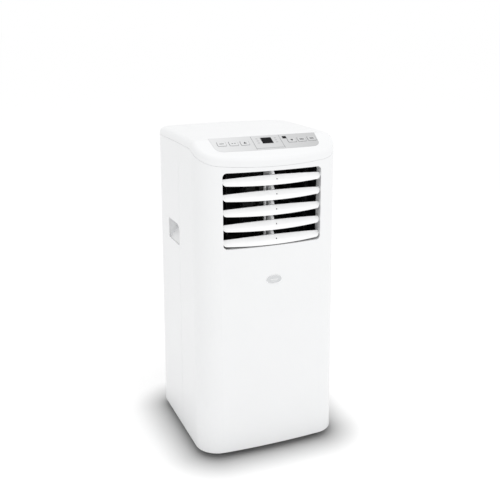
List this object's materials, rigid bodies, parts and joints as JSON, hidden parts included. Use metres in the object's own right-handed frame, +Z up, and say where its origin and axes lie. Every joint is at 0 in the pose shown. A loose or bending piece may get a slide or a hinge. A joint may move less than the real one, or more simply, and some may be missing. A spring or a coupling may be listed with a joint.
{
  "type": "portable air conditioner",
  "caption": "Upright white portable air conditioner on casters, with a louvred front outlet, slanted key panel, side grips and rear exhaust port.",
  "frame": {"origin": "on the floor, under the middle of the body", "axes": "+Z up along the height, -Y out of the louvred front, +X to the right as seen from the front"},
  "size_m": [0.328, 0.325, 0.7],
  "materials": {
    "cover": "semi-gloss white moulded plastic, finely textured",
    "blade": "semi-gloss white moulded plastic",
    "dark_plastic": "matt black moulded plastic",
    "panel": "silver-grey satin film over plastic",
    "key": "pale silver-grey moulded key",
    "lens": "glossy black tinted window",
    "badge": "satin silver-grey plastic",
    "wheel": "dark grey elastomer",
    "board": "green circuit board",
    "steel": "plated steel",
    "compressor": "black stoved enamel",
    "fins": "plain aluminium fins",
    "copper": "drawn copper tube",
    "grey_plastic": "grey moulded plastic",
    "rubber": "black rubber",
    "mesh": "dark woven filter gauze in a plastic frame"
  },
  "bodies": {
    "housing": {"front_cover": "cover", "rear_cover": "cover", "top_cover": "cover", "base_tray": "grey_plastic", "side_grip_left": "cover", "side_grip_right": "cover", "badge": "badge", "louver_center_rib": "cover", "outlet_frame": "dark_plastic", "control_panel": "panel", "display_window": "lens", "sensor_window": "lens", "control_board": "board", "intake_grille": "cover", "compressor": "compressor", "compressor_feet": "rubber", "condenser_coil": "fins", "evaporator_coil": "fins", "refrigerant_pipes": "copper", "mid_deck": "grey_plastic", "condenser_scroll": "grey_plastic", "condenser_motor": "steel", "evaporator_scroll": "dark_plastic", "evaporator_motor": "compressor", "electrical_box": "grey_plastic", "exhaust_collar": "cover", "cord_gland": "dark_plastic", "cover_screws": "steel"},
    "louver_1": {"louver_blade_1": "blade"},
    "louver_2": {"louver_blade_2": "blade"},
    "louver_3": {"louver_blade_3": "blade"},
    "louver_4": {"louver_blade_4": "blade"},
    "louver_5": {"louver_blade_5": "blade"},
    "louver_link": {"louver_link_bar": "blade"},
    "vane_1": {"air_vane_1": "dark_plastic"},
    "vane_2": {"air_vane_2": "dark_plastic"},
    "vane_3": {"air_vane_3": "dark_plastic"},
    "vane_4": {"air_vane_4": "dark_plastic"},
    "vane_5": {"air_vane_5": "dark_plastic"},
    "vane_6": {"air_vane_6": "dark_plastic"},
    "vane_link": {"vane_link_bar": "dark_plastic"},
    "key_timer": {"key_timer": "key"},
    "key_fan": {"key_fan": "key"},
    "key_up": {"key_up": "key"},
    "key_down": {"key_down": "key"},
    "key_mode": {"key_mode": "key"},
    "key_power": {"key_power": "key"},
    "caster_1": {"caster_fork_1": "dark_plastic"},
    "wheel_1": {"caster_wheel_1": "wheel"},
    "caster_2": {"caster_fork_2": "dark_plastic"},
    "wheel_2": {"caster_wheel_2": "wheel"},
    "caster_3": {"caster_fork_3": "dark_plastic"},
    "wheel_3": {"caster_wheel_3": "wheel"},
    "caster_4": {"caster_fork_4": "dark_plastic"},
    "wheel_4": {"caster_wheel_4": "wheel"},
    "condenser_fan": {"condenser_wheel": "dark_plastic"},
    "evaporator_fan": {"evaporator_wheel": "dark_plastic"},
    "filter": {"filter_panel": "cover", "filter_mesh": "mesh"},
    "drain": {"drain_plug": "rubber"}
  },
  "joints": [
    {"name": "louver_tilt_1", "type": "hinge", "parent": "housing", "child": "louver_1", "pos_m": [0, -0.143, 0.6184], "axis": [1, 0, 0], "range_deg": [-35, 5]},
    {"name": "louver_tilt_2", "type": "hinge", "parent": "housing", "child": "louver_2", "pos_m": [0, -0.143, 0.5868], "axis": [1, 0, 0], "range_deg": [-35, 5]},
    {"name": "louver_tilt_3", "type": "hinge", "parent": "housing", "child": "louver_3", "pos_m": [0, -0.143, 0.5552], "axis": [1, 0, 0], "range_deg": [-35, 5]},
    {"name": "louver_tilt_4", "type": "hinge", "parent": "housing", "child": "louver_4", "pos_m": [0, -0.143, 0.5236], "axis": [1, 0, 0], "range_deg": [-35, 5]},
    {"name": "louver_tilt_5", "type": "hinge", "parent": "housing", "child": "louver_5", "pos_m": [0, -0.143, 0.492], "axis": [1, 0, 0], "range_deg": [-35, 5]},
    {"name": "louver_link_turn", "type": "hinge", "parent": "louver_3", "child": "louver_link", "pos_m": [-0.011, -0.131, 0.5552], "axis": [1, 0, 0], "range_deg": [-5, 35]},
    {"name": "vane_swing_1", "type": "hinge", "parent": "housing", "child": "vane_1", "pos_m": [-0.09, -0.107, 0.558], "axis": [0, 0, 1], "range_deg": [-28, 28]},
    {"name": "vane_swing_2", "type": "hinge", "parent": "housing", "child": "vane_2", "pos_m": [-0.054, -0.107, 0.558], "axis": [0, 0, 1], "range_deg": [-28, 28]},
    {"name": "vane_swing_3", "type": "hinge", "parent": "housing", "child": "vane_3", "pos_m": [-0.018, -0.107, 0.558], "axis": [0, 0, 1], "range_deg": [-28, 28]},
    {"name": "vane_swing_4", "type": "hinge", "parent": "housing", "child": "vane_4", "pos_m": [0.018, -0.107, 0.558], "axis": [0, 0, 1], "range_deg": [-28, 28]},
    {"name": "vane_swing_5", "type": "hinge", "parent": "housing", "child": "vane_5", "pos_m": [0.054, -0.107, 0.558], "axis": [0, 0, 1], "range_deg": [-28, 28]},
    {"name": "vane_swing_6", "type": "hinge", "parent": "housing", "child": "vane_6", "pos_m": [0.09, -0.107, 0.558], "axis": [0, 0, 1], "range_deg": [-28, 28]},
    {"name": "vane_link_turn", "type": "hinge", "parent": "vane_3", "child": "vane_link", "pos_m": [-0.018, -0.0915, 0.55], "axis": [0, 0, 1], "range_deg": [-28, 28]},
    {"name": "key_timer_press", "type": "slide", "parent": "housing", "child": "key_timer", "axis": [0, 0.4664, -0.8846], "range_m": [0, 0.0008], "stiffness_N_per_m": 300},
    {"name": "key_fan_press", "type": "slide", "parent": "housing", "child": "key_fan", "axis": [0, 0.4664, -0.8846], "range_m": [0, 0.0008], "stiffness_N_per_m": 300},
    {"name": "key_up_press", "type": "slide", "parent": "housing", "child": "key_up", "axis": [0, 0.4664, -0.8846], "range_m": [0, 0.0008], "stiffness_N_per_m": 300},
    {"name": "key_down_press", "type": "slide", "parent": "housing", "child": "key_down", "axis": [0, 0.4664, -0.8846], "range_m": [0, 0.0008], "stiffness_N_per_m": 300},
    {"name": "key_mode_press", "type": "slide", "parent": "housing", "child": "key_mode", "axis": [0, 0.4664, -0.8846], "range_m": [0, 0.0008], "stiffness_N_per_m": 300},
    {"name": "key_power_press", "type": "slide", "parent": "housing", "child": "key_power", "axis": [0, 0.4664, -0.8846], "range_m": [0, 0.0008], "stiffness_N_per_m": 300},
    {"name": "caster_swivel_1", "type": "hinge", "parent": "housing", "child": "caster_1", "pos_m": [-0.111, -0.128, 0.04], "axis": [0, 0, 1], "continuous": true},
    {"name": "wheel_spin_1", "type": "hinge", "parent": "caster_1", "child": "wheel_1", "pos_m": [-0.111, -0.136, 0.0145], "axis": [1, 0, 0], "continuous": true},
    {"name": "caster_swivel_2", "type": "hinge", "parent": "housing", "child": "caster_2", "pos_m": [0.111, -0.128, 0.04], "axis": [0, 0, 1], "continuous": true},
    {"name": "wheel_spin_2", "type": "hinge", "parent": "caster_2", "child": "wheel_2", "pos_m": [0.111, -0.136, 0.0145], "axis": [1, 0, 0], "continuous": true},
    {"name": "caster_swivel_3", "type": "hinge", "parent": "housing", "child": "caster_3", "pos_m": [-0.111, 0.128, 0.04], "axis": [0, 0, 1], "continuous": true},
    {"name": "wheel_spin_3", "type": "hinge", "parent": "caster_3", "child": "wheel_3", "pos_m": [-0.111, 0.12, 0.0145], "axis": [1, 0, 0], "continuous": true},
    {"name": "caster_swivel_4", "type": "hinge", "parent": "housing", "child": "caster_4", "pos_m": [0.111, 0.128, 0.04], "axis": [0, 0, 1], "continuous": true},
    {"name": "wheel_spin_4", "type": "hinge", "parent": "caster_4", "child": "wheel_4", "pos_m": [0.111, 0.12, 0.0145], "axis": [1, 0, 0], "continuous": true},
    {"name": "condenser_fan_spin", "type": "hinge", "parent": "housing", "child": "condenser_fan", "pos_m": [0, 0.06, 0.35], "axis": [0, 1, 0], "continuous": true},
    {"name": "evaporator_fan_spin", "type": "hinge", "parent": "housing", "child": "evaporator_fan", "pos_m": [0, 0.02, 0.558], "axis": [0, 1, 0], "continuous": true},
    {"name": "filter_pull", "type": "slide", "parent": "housing", "child": "filter", "axis": [0, 1, 0], "range_m": [0, 0.04]},
    {"name": "drain_plug_pull", "type": "slide", "parent": "housing", "child": "drain", "axis": [0, 1, 0], "range_m": [0, 0.02]}
  ],
  "couplings": [
    {"joint": "louver_tilt_1", "follows": "louver_tilt_3", "ratio": 1},
    {"joint": "louver_tilt_2", "follows": "louver_tilt_3", "ratio": 1},
    {"joint": "louver_tilt_4", "follows": "louver_tilt_3", "ratio": 1},
    {"joint": "louver_tilt_5", "follows": "louver_tilt_3", "ratio": 1},
    {"joint": "louver_link_turn", "follows": "louver_tilt_3", "ratio": -1},
    {"joint": "vane_swing_1", "follows": "vane_swing_3", "ratio": 1},
    {"joint": "vane_swing_2", "follows": "vane_swing_3", "ratio": 1},
    {"joint": "vane_swing_4", "follows": "vane_swing_3", "ratio": 1},
    {"joint": "vane_swing_5", "follows": "vane_swing_3", "ratio": 1},
    {"joint": "vane_swing_6", "follows": "vane_swing_3", "ratio": 1},
    {"joint": "vane_link_turn", "follows": "vane_swing_3", "ratio": -1}
  ]
}
